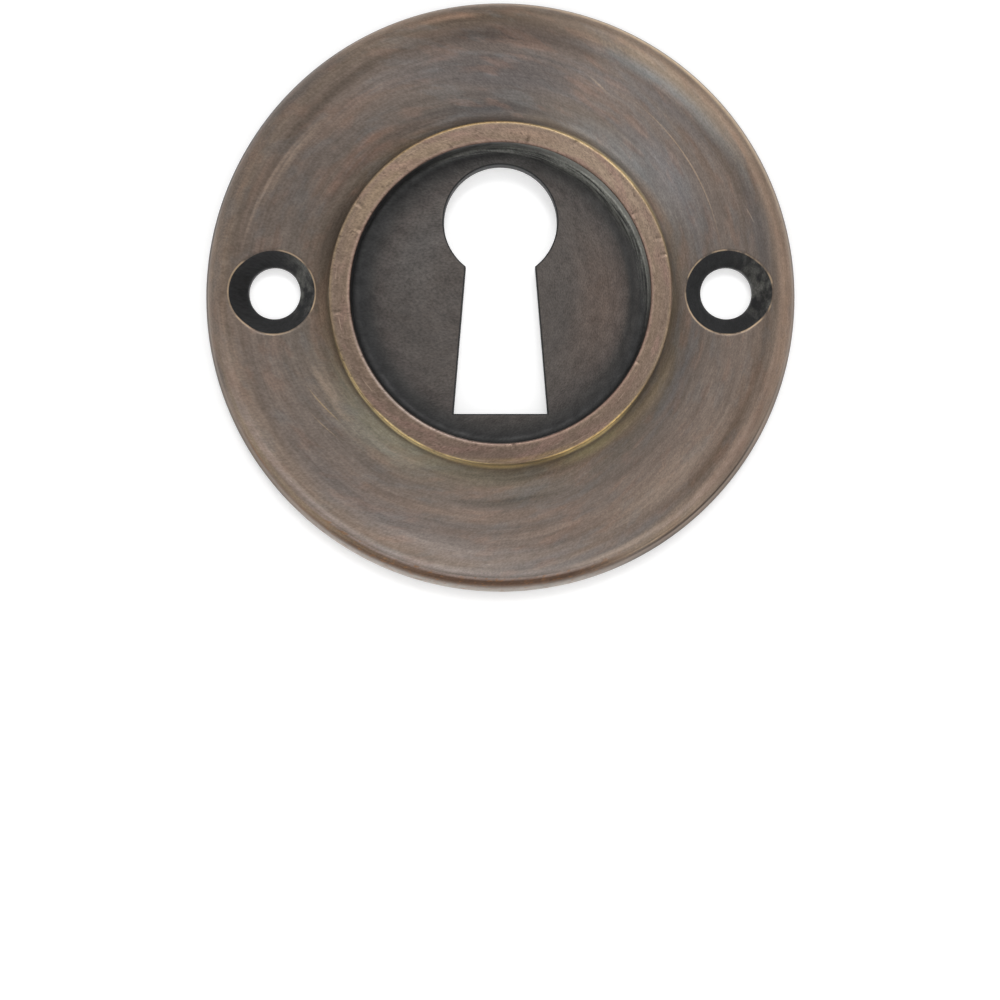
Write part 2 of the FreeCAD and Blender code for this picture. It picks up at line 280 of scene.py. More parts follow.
def escutcheon_mesh():
    """The whole piece as one closed mesh."""
    section, first, last = turned_section()
    shape = bmesh.new()

    def corner(x, z, height):
        return shape.verts.new((x * MM, -height * MM, z * MM))

    def band(upper, lower):
        for n in range(len(upper)):
            shape.faces.new((upper[n - 1], upper[n], lower[n], lower[n - 1]))

    turns = np.arange(AROUND) * 2 * math.pi / AROUND
    sectors = {1: 0, -1: AROUND // 2}

    def steps_off(n):
        """How many steps round a corner lies from the middle of the nearer fixing hole."""
        return min(min((n - middle) % AROUND, (middle - n) % AROUND) for middle in sectors.values())

    rings = []
    for row, (radius, height) in enumerate(section):
        broken = first < row < last
        rings.append([
            None if broken and steps_off(n) < HALF_SECTOR
            else corner(radius * math.cos(turn), radius * math.sin(turn), height)
            for n, turn in enumerate(turns)
        ])
    for row, (outer, inner) in enumerate(zip(rings, rings[1:])):
        for n in range(AROUND):
            if not (first <= row < last and max(steps_off(n), steps_off(n - 1)) <= HALF_SECTOR):
                shape.faces.new((outer[n - 1], outer[n], inner[n], inner[n - 1]))

    back_loops = [rings[0]]
    for side, middle in sectors.items():
        arc = [(middle + n) % AROUND for n in range(-HALF_SECTOR, HALF_SECTOR + 1)]
        loop = [rings[first][n] for n in arc]
        loop += [rings[row][arc[-1]] for row in range(first + 1, last)]
        loop += [rings[last][n] for n in reversed(arc)]
        loop += [rings[row][arc[0]] for row in range(last - 1, first, -1)]
        boundary = np.array([(v.co.x / MM, v.co.z / MM) for v in loop])
        for points in hole_rings(boundary, side):
            inner = [corner(*point) for point in points]
            band(loop, inner)
            loop = inner
        back_loops.append(loop)

    loops = [[corner(*point) for point in points] for points in keyhole_rings()]
    for upper, lower in zip(loops, loops[1:]):
        band(upper, lower)
    back_loops.append(loops[-1])

    for outlines in (back_loops, [rings[-1], loops[0]]):
        borders = {shape.edges.get((loop[n - 1], loop[n])) for loop in outlines for n in range(len(loop))}
        bmesh.ops.triangle_fill(shape, use_beauty=True, edges=list(borders))
    bmesh.ops.recalc_face_normals(shape, faces=shape.faces)
    open_edges = sum(not edge.is_manifold for edge in shape.edges)
    if open_edges:
        raise RuntimeError(f"the mesh isn't closed: {open_edges} edges")
    mesh = bpy.data.meshes.new("turned_escutcheon")
    shape.to_mesh(mesh)
    shape.free()
    for face in mesh.polygons:
        face.use_smooth = True
    press_knocks(mesh)
    mesh.set_sharp_from_angle(angle=SHARP)
    return mesh


def linear(code):
    """A colour written as an sRGB hex value, as Blender's sockets take it."""
    shares = [int(code[n:n + 2], 16) / 255 for n in (1, 3, 5)]
    return [s / 12.92 if s <= 0.04045 else ((s + 0.055) / 1.055) ** 2.4 for s in shares] + [1]


def add(tree, kind, inputs=None, **settings):
    """Adds one node with its settings, and its inputs' values or links.

    A node given as an input's value is linked by the output that its settings leave in use."""
    made = tree.nodes.new("ShaderNode" + kind)
    for name, value in settings.items():
        setattr(made, name, value)
    for name, value in (inputs or {}).items():
        if isinstance(value, bpy.types.Node):
            value = next(output for output in value.outputs if output.enabled)
        if isinstance(value, bpy.types.NodeSocket):
            tree.links.new(value, made.inputs[name])
        else:
            made.inputs[name].default_value = value
    return made


def new_material(name):
    """An empty material, and the tree that it is made in."""
    material = bpy.data.materials.new(name)
    material.use_nodes = True
    material.node_tree.nodes.clear()
    return material, material.node_tree


# The length over which the hand with the wool wanders off a true circle, and how far it strays
HAND_STROKE = 7
HAND_WANDER = 0.4

# How far the marks stray where only the lathe has been, out of the wool's reach
LATHE_WANDER = 0.06

# The tooth of the finish is a few hundredths of a millimetre. It is drawn this coarse, so that it shows.
GRIT = 0.15

# A turn of the noises, in radians, that keeps their own square grid from showing
OFF_GRID = (0.6, 0.4, 0.9)

# Nearly all of a noise's values lie between these
NOISE_SPAN = (0.3, 0.7)

# The values between which a noise breaks a patch up into strokes
BREAK_UP = (0.36, 0.62)


class Places:
    """Where a point lies on the turned piece, in millimetres and degrees. A clock angle runs from the top,
    clockwise as seen from the front. Each of these is made when a finish first asks for it. The wander is
    how far its marks stray from true circles."""

    def __init__(self, tree, wander=HAND_WANDER):
        self.tree = tree
        self.wander = wander

    @cached_property
    def point(self):
        place = add(self.tree, "TexCoord").outputs["Object"]
        return add(self.tree, "VectorMath", {0: place, "Scale": 1 / MM}, operation="SCALE")

    @cached_property
    def parts(self):
        return add(self.tree, "SeparateXYZ", {0: self.point}).outputs

    @cached_property
    def radius(self):
        flat = add(self.tree, "VectorMath", {0: self.point, 1: (1, 0, 1)}, operation="MULTIPLY")
        return add(self.tree, "VectorMath", {0: flat}, operation="LENGTH")

    @cached_property
    def clock(self):
        turn = add(self.tree, "Math", {0: self.parts["X"], 1: self.parts["Z"]}, operation="ARCTAN2")
        return add(self.tree, "Math", {0: turn}, operation="DEGREES")

    @cached_property
    def from_hole(self):
        """From the axis of the nearer fixing hole, across the plate."""
        side = add(self.tree, "Math", {0: self.parts["X"]}, operation="SIGN")
        axis = add(self.tree, "CombineXYZ", {
            "X": add(self.tree, "Math", {0: side, 1: HOLE_OFFSET}, operation="MULTIPLY"),
            "Y": self.parts["Y"], "Z": HOLE_RISE})
        return add(self.tree, "VectorMath", {0: self.point, 1: axis}, operation="SUBTRACT")

    @cached_property
    def hole_clock(self):
        across = add(self.tree, "SeparateXYZ", {0: self.from_hole}).outputs
        turn = add(self.tree, "Math", {0: across["X"], 1: across["Z"]}, operation="ARCTAN2")
        return add(self.tree, "Math", {0: turn}, operation="DEGREES")

    @cached_property
    def off_brim(self):
        """How far apart in height a sunk hole's cone and the plate's face are. It is nothing at the brim."""
        reach = add(self.tree, "VectorMath", {0: self.from_hole}, operation="LENGTH")
        face = add(self.tree, "MapRange", {
            "Value": self.radius, "From Min": FLAT_RADIUS, "From Max": CREST_RADIUS, "To Min": PLATE_HEIGHT,
            "To Max": RIM_HEIGHT}, interpolation_type="SMOOTHSTEP")
        above = add(self.tree, "Math", {0: reach, 1: face}, operation="SUBTRACT")
        above = add(self.tree, "Math", {0: above, 1: LAND_HEIGHT - HOLE_RADIUS}, operation="ADD")
        return add(self.tree, "Math", {0: above}, operation="ABSOLUTE")

    @cached_property
    def rubbed_radius(self):
        """The radius as the rubbing hand follows it, which isn't quite true to the axis."""
        hand = add(self.tree, "TexNoise", {"Vector": self.point, "Scale": 1 / HAND_STROKE, "Detail": 1})
        wander = add(self.tree, "MapRange", {"Value": hand, "To Min": -self.wander, "To Max": self.wander})
        return add(self.tree, "Math", {0: self.radius, 1: wander}, operation="ADD")

    def turn_from(self, clock, turn=None):
        """The degrees from a clock angle to a point, less than nothing on the side before it."""
        turn = turn or self.clock
        turn = add(self.tree, "Math", {0: turn, 1: clock + 180, 2: clock - 180}, operation="WRAP")
        return add(self.tree, "Math", {0: turn, 1: clock}, operation="SUBTRACT")

    def degrees_from(self, clock, turn=None):
        """How many degrees a point lies to either side of a clock angle."""
        return add(self.tree, "Math", {0: self.turn_from(clock, turn)}, operation="ABSOLUTE")

    def marks(self, length, width, detail=3, seed=0.0):
        """Noise for marks of a length round the axis and a width across it, as rubbing leaves them."""
        tree = self.tree
        along = add(tree, "Mapping", {
            "Vector": self.point, "Rotation": OFF_GRID, "Scale": (1 / length,) * 3})
        across = add(tree, "Math", {0: self.rubbed_radius, 1: 1 / width}, operation="MULTIPLY")
        step = add(tree, "CombineXYZ", {"X": seed, "Y": across, "Z": seed})
        place = add(tree, "VectorMath", {0: along, 1: step}, operation="ADD")
        return add(tree, "TexNoise", {"Vector": place, "Scale": 1, "Detail": detail})

    def grain(self, size, detail=3, seed=0.0):
        """Noise for an even grain of a size."""
        return self.marks(size, size, detail, seed)


def lay(tree, under, colour, most, *limits):
    """Lays a colour over what is there. Its share rises to the most, where each amount in (amount, low,
    high) passes from its low to its high."""
    share = most
    for amount, low, high in limits:
        share = add(tree, "MapRange", {
            "Value": amount, "From Min": low, "From Max": high, "To Max": share},
            interpolation_type="SMOOTHSTEP")
    over = linear(colour) if isinstance(colour, str) else colour
    return add(tree, "Mix", {"Factor": share, 6: under, 7: over}, data_type="RGBA")


def mottle(tree, under, noise, strength):
    """Lightens and darkens a colour by a noise, by up to that share."""
    low, high = NOISE_SPAN
    level = add(tree, "MapRange", {
        "Value": noise, "From Min": low, "From Max": high, "To Min": 1 - strength, "To Max": 1 + strength})
    return add(tree, "Mix", {"Factor": 1.0, 6: under, 7: level}, data_type="RGBA", blend_type="MULTIPLY")


def bands(places, stops):
    """A colour that changes with the radius, from (radius, hex) stops."""
    start, end = stops[0][0], stops[-1][0]
    share = add(places.tree, "MapRange", {"Value": places.radius, "From Min": start, "From Max": end})
    ramp = add(places.tree, "ValToRGB", {"Fac": share})
    elements = ramp.color_ramp.elements
    while len(elements) < len(stops):
        elements.new(0.5)
    for element, (stop, code) in zip(elements, stops):
        element.position = (stop - start) / (end - start)
        element.color = linear(code)
    return ramp


class Patch(NamedTuple):
    """A long patch round the axis where the colour differs: some patches are tints of the finish, others are
    painted light and shade. It fades from its middle, at a clock angle and a radius, to half a turn and half
    a width away. It may drift outwards over half its length, and it may be broken up into strokes."""

    colour: str
    share: float
    clock: float
    radius: float
    half_turn: float
    half_width: float
    drift: float = 0.0
    broken: bool = False


def lay_patches(places, colour, patches, strokes):
    """Lays each patch over the ones before it."""
    tree = places.tree
    for patch in patches:
        turn = places.turn_from(patch.clock)
        along = add(tree, "Math", {0: turn, 1: patch.half_turn}, operation="DIVIDE")
        out = add(tree, "MapRange", {
            "Value": places.radius, "From Min": patch.radius, "From Max": patch.radius + patch.half_width},
            clamp=False)
        if patch.drift:
            drift = -patch.drift / patch.half_width
            out = add(tree, "Math", {0: along, 1: drift, 2: out}, operation="MULTIPLY_ADD")
        both = add(tree, "CombineXYZ", {"X": along, "Y": out})
        away = add(tree, "VectorMath", {0: both}, operation="LENGTH")
        limits = [(away, 1, 0)]
        if patch.broken:
            limits.append((strokes, *BREAK_UP))
        colour = lay(tree, colour, patch.colour, patch.share, *limits)
    return colour


# The field: the cove and the face beside it. Its patches paint the cove's sheen and shade by sector over the
# patina's tints, and a highlight along the worn line at the ring's edge.
COVE_PATCHES = [
    # Painted shade: darker at the upper left, the right and the top
    Patch("#413a36", 0.7, -66, 13.3, 46, 1.0),
    Patch("#443d39", 0.5, 108, 13.5, 24, 1.0),
    Patch("#383839", 0.85, -4, 14.0, 36, 1.9),
    # Painted sheen: lighter, and bluish grey, at the upper right
    Patch("#6b6c6d", 0.65, 44, 13.9, 36, 1.6),
    Patch("#7a6b60", 0.7, 62, 13.3, 22, 0.8),
    # Painted shade at the upper left
    Patch("#49413c", 0.6, -28, 14.3, 22, 1.2),
    # Painted sheen: lighter at the lower right, the left, the lower left and the bottom, in the patina's
    # tints
    Patch("#716452", 0.6, 122, 13.5, 26, 1.0),
    Patch("#6d5f52", 0.5, 262, 13.3, 26, 0.8),
    Patch("#8e8876", 0.8, 217, 13.4, 42, 1.0),
    Patch("#7f755b", 0.7, 148, 13.3, 24, 0.7),
    Patch("#6f6c62", 0.6, 222, 14.3, 40, 1.7),
    Patch("#686256", 0.7, 182, 13.7, 26, 1.2),
    # The line along the ring's outer edge: worn bare brass, with a painted highlight that is brightest at
    # the lower left and the lower right
    Patch("#ffe9b4", 1.0, 218, 12.77, 48, 0.16),
    Patch("#f6dba0", 1.0, 149, 12.78, 26, 0.19),
    Patch("#f0dcb0", 0.9, 38, 12.85, 44, 0.3),
    Patch("#c9b080", 0.8, 181, 12.8, 30, 0.26),
    Patch("#897b66", 0.6, 92, 12.8, 30, 0.3),
    Patch("#837560", 0.5, 268, 12.8, 26, 0.3),
]

# The field: its broad face, with the longer scratches last. Some patches are the patina's own tints and
# streaks; others are painted sheen and shade by sector.
FACE_PATCHES = [
    # Painted shade: darker at the top, over the lamp's sheen there; the second is greyer too
    Patch("#403a37", 0.65, 0, 17.2, 34, 4.6),
    Patch("#494544", 0.6, 2, 16.2, 26, 2.2),
    # The patina's brown at the upper left
    Patch("#634f46", 0.7, -48, 14.8, 26, 1.9, broken=True),
    # Painted sheen: bluish grey at the upper right
    Patch("#6b6868", 0.7, 56, 15.4, 28, 2.2),
    # Painted shade at the top, near the rise to the rim
    Patch("#463f3b", 0.85, 0, 19.3, 32, 1.5),
    # Painted sheen: grey at the upper right, and lighter, in the patina's tints, in the lower half and at
    # the left
    Patch("#5d5b5b", 0.6, 42, 18.9, 24, 0.8),
    Patch("#676260", 0.5, 208, 18.8, 44, 1.8),
    Patch("#75685f", 0.6, 122, 17.8, 48, 3.4),
    Patch("#696058", 0.5, 262, 16.8, 42, 3.6),
    Patch("#7d6f64", 0.7, 138, 18.7, 28, 1.6),
    Patch("#685f59", 0.5, 252, 18.2, 26, 2.2),
    # The patina's own tints, streaks and scratches
    Patch("#6f6056", 0.6, 170, 17.6, 22, 1.5, broken=True),
    Patch("#4a443d", 0.7, 176, 15.3, 26, 0.9, broken=True),
    Patch("#7e685b", 0.7, 178, 16.5, 22, 0.8, broken=True),
    Patch("#675b53", 0.7, 140, 17.0, 26, 1.4, broken=True),
    Patch("#5a524c", 0.7, 205, 16.0, 26, 1.2, broken=True),
    Patch("#706158", 0.9, -38, 18.2, 22, 1.0, -0.5, broken=True),
    Patch("#7f7065", 0.7, -64, 19.3, 24, 0.22, -0.55),
    Patch("#75675c", 0.8, -58, 18.9, 22, 0.7, -0.5, broken=True),
    Patch("#7e7064", 0.9, 240, 14.9, 20, 1.2, broken=True),
    Patch("#8d7b6a", 0.7, 54, 17.3, 27, 0.08, -0.5),
    Patch("#847364", 0.6, 25, 17.4, 5, 0.15, -0.5),
    Patch("#8d8175", 0.6, 72, 19.6, 3, 0.07, 0.2),
    Patch("#947f61", 0.7, 238, 15.6, 9, 0.07, 0.5),
    Patch("#8d7a65", 0.6, 233, 16.4, 7, 0.06, 0.4),
]

# The field: the rise to the rim, its crest and its outer flank. Most of these paint light and shade by
# sector: highlights on the crest, reflections in the outer flank, and shade where a lamp's highlight is
# taken back.
RIM_PATCHES = [
    # Painted shade in the dark band of the rise at the upper left
    Patch("#4c443d", 0.55, -38, 19.7, 36, 0.6, 0.15),
    # Painted sheen: bluish at the upper right
    Patch("#787c7e", 0.8, 40, 20.0, 30, 0.8, 0.3),
    # Painted shade on the rise at the lower right
    Patch("#524439", 0.6, 122, 20.0, 34, 0.5),
    # Painted highlights on the rise, the crest and the outer roll, at the right, the bottom and the lower
    # left
    Patch("#74655a", 0.5, 112, 19.6, 26, 0.8),
    Patch("#76695f", 0.55, 240, 20.2, 44, 0.7),
    Patch("#887a6a", 0.5, 40, 20.6, 34, 1.2),
    Patch("#8b7868", 0.7, 48, 21.3, 40, 0.7),
    Patch("#8e7868", 0.7, 92, 21.4, 36, 0.9),
    Patch("#8a776b", 0.7, 126, 21.1, 34, 0.7),
    Patch("#8a817c", 0.6, 200, 20.9, 62, 0.45),
    Patch("#998a7d", 0.7, 150, 21.05, 26, 0.4),
    Patch("#9a8876", 0.7, 148, 21.4, 24, 0.2),
    Patch("#928277", 0.7, 244, 21.1, 34, 0.7),
    Patch("#82756b", 0.5, 272, 21.3, 24, 0.6),
    # Painted shade at the top and the upper left, which takes back the lamp's highlight on the crest
    Patch("#40372f", 0.9, -2, 20.9, 34, 1.0),
    Patch("#554b42", 0.6, -30, 20.9, 24, 0.7),
    # A small reddish-brown patch at the top
    Patch("#786253", 0.6, -11, 21.2, 11, 0.5),
    # Painted reflection of the pale room in the outer flank at the upper right
    Patch("#c2ac8f", 0.9, 40, 21.86, 48, 0.3),
    # The patina's brown at the upper left, and a light and a dark line along the outer roll at the lower
    # right
    Patch("#6f6053", 0.6, -75, 21.0, 50, 0.7, broken=True),
    Patch("#a8927a", 0.9, 150, 21.6, 22, 0.09),
    Patch("#3a2d24", 1.0, 134, 21.79, 36, 0.14),
    # Painted shade on the outer wall at the upper left
    Patch("#39312c", 1.0, -62, 22.15, 56, 0.4),
]

# What lies over the shoulder of the rim's lower part: painted shade at the bottom, copper-brown wear at the
# lower left, and a painted highlight at the lower left
SHOULDER_PATCHES = [
    Patch("#54443a", 0.6, 176, 21.48, 26, 0.2),
    Patch("#8f6a4a", 0.7, 234, 21.7, 20, 0.14, broken=True),
    Patch("#8f7f6c", 0.8, 228, 21.48, 40, 0.3),
]


def rubbed_colour_and_painted_light(places):
    """The colours of the rubbed field, from the cove to the rim's outer flank, with painted sheen,
    highlights, shade and reflections laid into them by sector.
    """
    tree = places.tree
    # Lighter from 21.4 mm out to the outer flank: a painted reflection of the pale room. Darker again at the
    # very edge.
    colour = bands(places, [
        (12.7, "#6b5f51"), (13.2, "#66594b"), (13.8, "#5d534a"), (14.6, "#5d554e"), (15.4, "#5d554f"),
        (17.2, "#615852"), (19.2, "#60564f"), (20.0, "#5f544c"), (20.6, "#665b52"), (21.0, "#675b52"),
        (21.4, "#73665b"), (21.7, "#827367"), (21.9, "#8a796a"), (22.05, "#746455"), (22.2, "#54483f"),
    ])
    # Long smears of grey and brown, then the patches, then short reddish and bluish ones over them
    colour = lay(tree, colour, "#595757", 0.55, (places.marks(16, 2.6, 3, 3.1), 0.50, 0.68))
    colour = lay(tree, colour, "#66574d", 0.50, (places.marks(8, 1.4, 3, 7.7), 0.50, 0.68))
    strokes = places.marks(5, 0.6, 4, 6.4)
    colour = lay_patches(places, colour, COVE_PATCHES + FACE_PATCHES + RIM_PATCHES, strokes)
    colour = lay(tree, colour, "#7c5f50", 0.16, (places.marks(2.4, 1.0, 4, 12.2), 0.52, 0.66))
    colour = lay(tree, colour, "#5d6264", 0.16, (places.marks(2.4, 1.0, 4, 15.8), 0.52, 0.66))
    # The shoulder of the rim's lower part: a painted highlight on its crest, a dark painted reflection on
    # the steep outer face, and a pale line outside it, the white surface below as a painted reflection.
    # Copper-brown specks of wear lie over it.
    shoulder = bands(places, [
        (21.1, "#8b8079"), (21.26, "#81726a"), (21.4, "#5f4c40"), (21.62, "#5a463a"), (21.74, "#6d5b4e"),
        (21.88, "#82776f"), (22.0, "#9f9790"), (22.2, "#b2aaa2"),
    ])
    shoulder = lay(tree, shoulder, "#8a623f", 0.6, (places.marks(0.5, 0.3, 3, 2.7), 0.56, 0.66))
    lower_part = (places.degrees_from(190), 44, 20)
    colour = lay(tree, colour, shoulder, 1.0, lower_part, (places.radius, 21.1, 21.2))
    return lay_patches(places, colour, SHOULDER_PATCHES, strokes)


def brass_rubbed_back():
    """Brass, turned, blackened, and rubbed back round the axis by hand with fine wool.

    The strokes leave drawn-out streaks and patches of brown, grey and tan, and a sheen that fans out from
    the axis. Sheen, highlights, shade and reflections are also painted into the colour, by sector. The
    wool's own scratches, a few hundredths wide, are drawn 0.10 and 0.16 mm wide, so that they show. The
    brims of the fixing holes are rubbed bright in places.
    """
    material, tree = new_material("brass_rubbed_back")
    places = Places(tree)
    colour = rubbed_colour_and_painted_light(places)
    colour = mottle(tree, colour, places.marks(5, 0.6, 4, 1.3), 0.12)
    colour = mottle(tree, colour, places.marks(2.6, 0.16, 3, 5.9), 0.09)
    colour = mottle(tree, colour, places.grain(0.6, 4), 0.08)
    colour = mottle(tree, colour, places.grain(GRIT, 2), 0.14)
    at_the_brim = (places.off_brim, 0.1, 0.02)
    colour = lay(tree, colour, "#b09a80", 0.8, at_the_brim, (places.grain(2.2), 0.40, 0.56))
    scratches = places.marks(6, 0.10, 4, 9.2)
    relief = add(tree, "Bump", {"Strength": 0.6, "Distance": 0.002 * MM, "Height": scratches})
    fan = add(tree, "Tangent", direction_type="RADIAL", axis="Y")
    metal = add(tree, "BsdfPrincipled", {
        "Base Color": colour, "Metallic": 1.0, "Roughness": 0.45, "Anisotropic": 0.7,
        "Anisotropic Rotation": 0.25, "Tangent": fan, "Normal": relief})
    add(tree, "OutputMaterial", {"Surface": metal})
    return material


# The ring's face, with painted light and shade, then the worn line round its outer edge, with a painted
# highlight
RING_PATCHES = [
    # Painted light and shade on the face: darker towards the bottom, lighter at the upper right, the upper
    # left and the top
    Patch("#5a4c45", 0.7, 185, 11.9, 100, 1.1),
    Patch("#7b6c5e", 0.6, 44, 11.8, 50, 1.0),
    Patch("#786856", 0.6, -45, 11.8, 44, 1.0),
    Patch("#746154", 0.5, 10, 11.9, 16, 0.6),
    # Tints near the ring's edges
    Patch("#776347", 0.6, 170, 12.4, 26, 0.3),
    Patch("#857b74", 0.7, 222, 11.2, 60, 0.24),
    # The worn outer edge: bare brass, with a painted highlight, brightest at the lower left and the lower
    # right
    Patch("#ffe2a0", 1.0, 216, 12.71, 52, 0.18),
    Patch("#92794e", 0.7, -12, 12.62, 48, 0.14),
    Patch("#f6d28a", 1.0, 146, 12.69, 30, 0.2),
    Patch("#cdb384", 0.9, 40, 12.66, 44, 0.18),
]


def brass_ring_rubbed_flat():
    """The same brass on the ring, rubbed flat and further down.

    Its face is brown with fine pits, painted lighter at the top and darker towards the bottom, and its outer
    edge is worn to bare yellow metal, with a painted highlight that is brightest at the lower left.
    """
    material, tree = new_material("brass_ring_rubbed_flat")
    places = Places(tree)
    colour = bands(places, [
        (11.1, "#4c423d"), (11.18, "#816b60"), (11.3, "#78675b"), (11.42, "#66584c"), (12.35, "#65574d"),
        (12.5, "#6d5f51"), (12.58, "#81705d"), (12.68, "#81705b"), (12.71, "#64584d"),
    ])
    colour = lay_patches(places, colour, RING_PATCHES, None)
    colour = lay(tree, colour, "#705b53", 0.5, (places.marks(3, 1.0, 3, 5.5), 0.5, 0.66))
    colour = mottle(tree, colour, places.grain(0.5), 0.12)
    colour = mottle(tree, colour, places.grain(GRIT), 0.22)
    colour = mottle(tree, colour, places.marks(7, 0.3, 3, 2.2), 0.08)
    # Dark pits, and fine bright scratches
    colour = lay(tree, colour, "#493d36", 0.6, (places.grain(0.3, 1, 4.1), 0.64, 0.74))
    colour = lay(tree, colour, "#918070", 0.5, (places.marks(2.2, 0.12, 2, 8.3), 0.66, 0.74))
    relief = add(tree, "Bump", {"Strength": 0.6, "Distance": 0.002 * MM, "Height": places.grain(GRIT)})
    metal = add(tree, "BsdfPrincipled", {
        "Base Color": colour, "Metallic": 1.0, "Roughness": 0.42, "Normal": relief})
    add(tree, "OutputMaterial", {"Surface": metal})
    return material


# The floor of the recess with its near-black margin at the wall's foot, partly painted shade, then its wall
# with a painted grey highlight in its upper part
RECESS_PATCHES = [
    Patch("#55463d", 0.7, 95, 7.6, 60, 3.0),
    Patch("#484543", 0.5, 300, 7.0, 60, 2.4),
    # The near-black margin along the wall's foot: the unrubbed black skin, darkened further as painted shade
    Patch("#1e1e1f", 0.8, 256, 10.4, 80, 1.3),
    Patch("#1a1a1a", 0.8, 84, 9.9, 60, 0.5),
    # Painted highlight: grey and light on the hollow and the wall at the upper right and the top
    Patch("#55554f", 0.8, 48, 10.72, 66, 0.7, broken=True),
    Patch("#7c7c76", 0.9, 44, 10.85, 60, 0.4, broken=True),
    Patch("#d9d9d0", 0.9, 52, 11.06, 62, 0.14),
    Patch("#7a7a74", 0.8, 2, 10.95, 40, 0.4, broken=True),
    # A lighter streak on the floor at the top
    Patch("#4b4846", 0.6, 2, 10.1, 24, 0.5),
]


def brass_left_black():
    """Brass, turned and blackened, out of the wool's reach in the recess and the sunk holes.

    Its skin is dull and sooty, with a faint brown bloom. It is painted darker towards the wall's foot,
    partly as shade, and painted light grey where light falls on the upper right of the recess and on the
    right of each sunk hole.
    """
    material, tree = new_material("brass_left_black")
    places = Places(tree, LATHE_WANDER)
    # Darker towards the wall's foot: the unrubbed black skin, with painted shade
    colour = bands(places, [
        (6.0, "#453f3b"), (8.0, "#433d39"), (9.0, "#3e3835"), (9.8, "#302d2b"), (10.5, "#242323"),
        (11.05, "#2b2b2b"), (11.2, "#252525"), (14.0, "#222223"),
    ])
    strokes = places.marks(1.6, 0.1, 4, 3.3)
    colour = lay_patches(places, colour, RECESS_PATCHES, strokes)
    # A painted grey highlight on the right-hand side of each sunk hole, outside the ring
    to_the_right = (places.degrees_from(80, places.hole_clock), 80, 10)
    outside_the_ring = (places.radius, 12, 13)
    colour = lay(tree, colour, "#6c6b66", 0.7, to_the_right, outside_the_ring,
                 (places.grain(0.9, 5, 2.2), 0.38, 0.68))
    colour = mottle(tree, colour, places.grain(3.0, 4, 1.7), 0.10)
    colour = mottle(tree, colour, places.grain(1.2, 4), 0.14)
    colour = mottle(tree, colour, places.grain(GRIT), 0.36)
    colour = mottle(tree, colour, places.marks(8, 0.5, 3, 4.4), 0.05)
    cloth = places.grain(0.8, 4, 6.6)
    low, high = NOISE_SPAN
    rough = add(tree, "MapRange", {
        "Value": cloth, "From Min": low, "From Max": high, "To Min": 0.45, "To Max": 0.65})
    relief = add(tree, "Bump", {"Strength": 0.5, "Distance": 0.003 * MM, "Height": places.grain(GRIT)})
    skin = add(tree, "BsdfPrincipled", {
        "Base Color": colour, "Metallic": 0.4, "Roughness": rough, "Normal": relief})
    add(tree, "OutputMaterial", {"Surface": skin})
    return material


def keyhole_near_black():
    """Matt, nearly black skin on the walls and worn edge of the keyhole.
    """
    material, tree = new_material("keyhole_near_black")
    places = Places(tree)
    colour = bands(places, [(0.0, "#1b1a1a"), (9.8, "#181818")])
    colour = mottle(tree, colour, places.grain(0.3), 0.3)
    skin = add(tree, "BsdfPrincipled", {"Base Color": colour, "Metallic": 0.3, "Roughness": 0.6})
    add(tree, "OutputMaterial", {"Surface": skin})
    return material


def brass_faced_back():
    """The back, faced on the lathe and blackened but never rubbed: plain, even and dark.

    The lathe's lines, a few hundredths apart, are drawn 0.12 mm wide so that they show.
    """
    material, tree = new_material("brass_faced_back")
    places = Places(tree)
    colour = bands(places, [(0.0, "#4d4541"), (12.0, "#514944"), (22.3, "#4a423d")])
    colour = mottle(tree, colour, places.marks(12, 0.3, 4, 6.1), 0.10)
    colour = mottle(tree, colour, places.grain(0.2), 0.08)
    lines = places.marks(40, 0.12, 2, 8.8)
    relief = add(tree, "Bump", {"Strength": 0.5, "Distance": 0.004 * MM, "Height": lines})
    metal = add(tree, "BsdfPrincipled", {
        "Base Color": colour, "Metallic": 1.0, "Roughness": 0.5, "Normal": relief})
    add(tree, "OutputMaterial", {"Surface": metal})
    return material


# A fixing hole's own faces lie within this of its axis, and are black from this far below the plate's face
SINK_REACH = 4
BELOW_THE_FACE = 0.05

# How far off the back's plane, or outside the ring, a face still counts with it
NEARLY = 0.01

# How squarely a face of the back looks backwards, where 1 is fully
BACKWARDS = 0.9

# How far below the floor of the recess the keyhole's worn edge begins
EDGE_DROP = 0.003


def dress(mesh):
    """Gives each face the finish of the place that it is in."""
    finishes = (brass_rubbed_back, brass_ring_rubbed_flat, brass_left_black, keyhole_near_black, brass_faced_back)
    for finish in finishes:
        mesh.materials.append(finish())
    field, ring, black, near_black, back = range(len(finishes))
    for face in mesh.polygons:
        x, y, z = face.center / MM
        radius, height = math.hypot(x, z), -y
        hole = math.hypot(abs(x) - HOLE_OFFSET, z - HOLE_RISE)
        if height < NEARLY and face.normal.y > BACKWARDS:
            index = back
        # The keyhole's walls and worn edge take the nearly black finish
        elif radius < RECESS_RADIUS - RECESS_CORNER and height < FLOOR_HEIGHT - EDGE_DROP:
            index = near_black
        elif radius < RECESS_RADIUS and height < RING_HEIGHT - RING_EDGE:
            index = black
        elif hole < SINK_REACH and height < plate_height(radius) - BELOW_THE_FACE:
            index = black
        elif height > PLATE_HEIGHT + COVE and radius < RING_RADIUS + NEARLY:
            index = ring
        else:
            index = field
        face.material_index = index


plate = bpy.data.objects.new("turned_escutcheon", escutcheon_mesh())
dress(plate.data)
bpy.context.scene.collection.objects.link(plate)
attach(plate, "root")
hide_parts("escutcheon")


